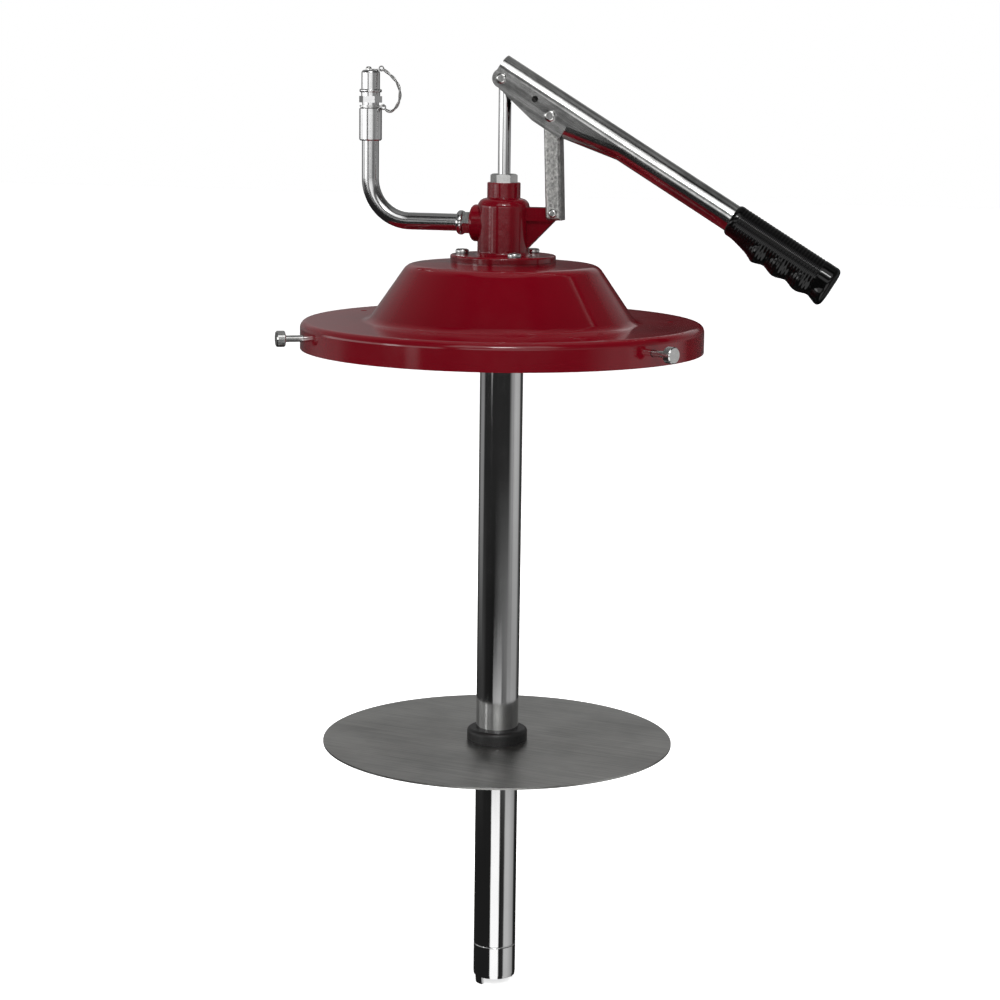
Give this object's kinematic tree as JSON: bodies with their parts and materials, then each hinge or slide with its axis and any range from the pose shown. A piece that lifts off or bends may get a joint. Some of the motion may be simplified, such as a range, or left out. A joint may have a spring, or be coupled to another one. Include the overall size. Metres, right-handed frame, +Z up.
{
  "type": "hand lever drum pump",
  "caption": "Hand lever drum pump for gear oil or grease: domed drum cover, cast head with a bent outlet pipe and coupler, long suction tube, follower plate.",
  "frame": {"origin": "on the pump's axis, in the underside of the cover's brim, where the drum's rim seats", "axes": "+Z up along the suction tube and the rod; +X towards the lever, the link and its ear; the outlet points towards -X"},
  "size_m": [0.4159, 0.3307, 0.7322],
  "materials": {
    "red_paint": "glossy wine-red enamel over pressed and cast steel",
    "chrome": "polished chrome plate",
    "zinc_bright": "bright zinc plate on turned steel",
    "zinc_dull": "dull spangled galvanised sheet",
    "lever_zinc": "zinc-plated pipe with drawing marks",
    "plate_steel": "brushed galvanised sheet",
    "black_rubber": "satin black moulded rubber",
    "gasket_fibre": "pressed fibre gasket sheet",
    "black_steel": "black-oxide steel",
    "ball_steel": "polished bearing steel",
    "brass": "turned brass",
    "wire_rope": "twisted bright steel wire"
  },
  "bodies": {
    "root": {"drum_cover": "red_paint", "cover_weld_nuts": "zinc_bright", "head_gasket": "gasket_fibre", "pump_head": "red_paint", "head_bolts": "zinc_bright", "head_lock_washers": "zinc_bright", "head_nuts": "zinc_bright", "packing_washer": "brass", "packing_rings": "black_rubber", "gland_nut": "zinc_bright", "suction_tube": "chrome", "foot_valve_body": "black_steel", "foot_valve_pin": "zinc_bright", "link_pin": "zinc_bright", "outlet_adapter": "zinc_bright", "pipe_collar": "zinc_bright", "outlet_pipe": "zinc_bright", "coupler_sleeve": "zinc_bright", "coupler_body": "zinc_bright", "coupler_spring": "zinc_bright", "tether_ring": "zinc_bright", "cap_tether": "wire_rope"},
    "rod": {"piston_rod": "chrome", "piston_body": "zinc_bright", "piston_seals": "black_rubber"},
    "lever": {"lever_arm": "lever_zinc", "lever_grip": "black_rubber", "rod_pin": "zinc_bright", "fulcrum_pin": "zinc_bright"},
    "link": {"link_channel": "zinc_dull"},
    "piston_ball": {"piston_valve_ball": "ball_steel"},
    "foot_ball": {"foot_valve_ball": "ball_steel"},
    "poppet": {"coupler_poppet": "brass"},
    "cap": {"dust_cap": "zinc_bright", "cap_eye_plate": "zinc_bright", "cap_rivet": "zinc_bright"},
    "follower": {"follower_plate": "plate_steel", "follower_collar": "black_rubber"},
    "screw_1": {"clamp_screw_1": "zinc_bright"},
    "screw_2": {"clamp_screw_2": "zinc_bright"},
    "screw_3": {"clamp_screw_3": "zinc_bright"}
  },
  "joints": [
    {"name": "rod_slide", "type": "slide", "parent": "root", "child": "rod", "axis": [0, 0, -1], "range_m": [0, 0.0466]},
    {"name": "lever_swing", "type": "hinge", "parent": "rod", "child": "lever", "pos_m": [0, 0, 0.1853], "axis": [0, -1, 0], "range_deg": [0, 60]},
    {"name": "link_swing", "type": "hinge", "parent": "root", "child": "link", "pos_m": [0.0406, 0, 0.0852], "axis": [0, 1, 0], "range_deg": [0, 3.7]},
    {"name": "piston_ball_lift", "type": "slide", "parent": "rod", "child": "piston_ball", "axis": [0, 0, 1], "range_m": [0, 0.004]},
    {"name": "foot_ball_lift", "type": "slide", "parent": "root", "child": "foot_ball", "axis": [0, 0, 1], "range_m": [0, 0.005]},
    {"name": "poppet_press", "type": "slide", "parent": "root", "child": "poppet", "axis": [0, 0, -1], "range_m": [0, 0.003], "stiffness_N_per_m": 300, "springref_m": -0.008, "deforming": ["coupler_spring"]},
    {"name": "cap_pull", "type": "slide", "parent": "root", "child": "cap", "axis": [0, 0, 1], "range_m": [0, 0.02]},
    {"name": "follower_slide", "type": "slide", "parent": "root", "child": "follower", "axis": [0, 0, 1], "range_m": [-0.16, 0.29]},
    {"name": "clamp_turn_1", "type": "slide", "parent": "root", "child": "screw_1", "axis": [0, -1, 0], "range_m": [0, 0.012]},
    {"name": "clamp_turn_2", "type": "slide", "parent": "root", "child": "screw_2", "axis": [0.866, 0.5, 0], "range_m": [0, 0.012]},
    {"name": "clamp_turn_3", "type": "slide", "parent": "root", "child": "screw_3", "axis": [-0.866, 0.5, 0], "range_m": [0, 0.012]}
  ],
  "couplings": [
    {"joint": "rod_slide", "follows": "lever_swing", "m_per_rad": 0.04444},
    {"joint": "link_swing", "follows": "lever_swing", "ratio": 0.0609}
  ]
}
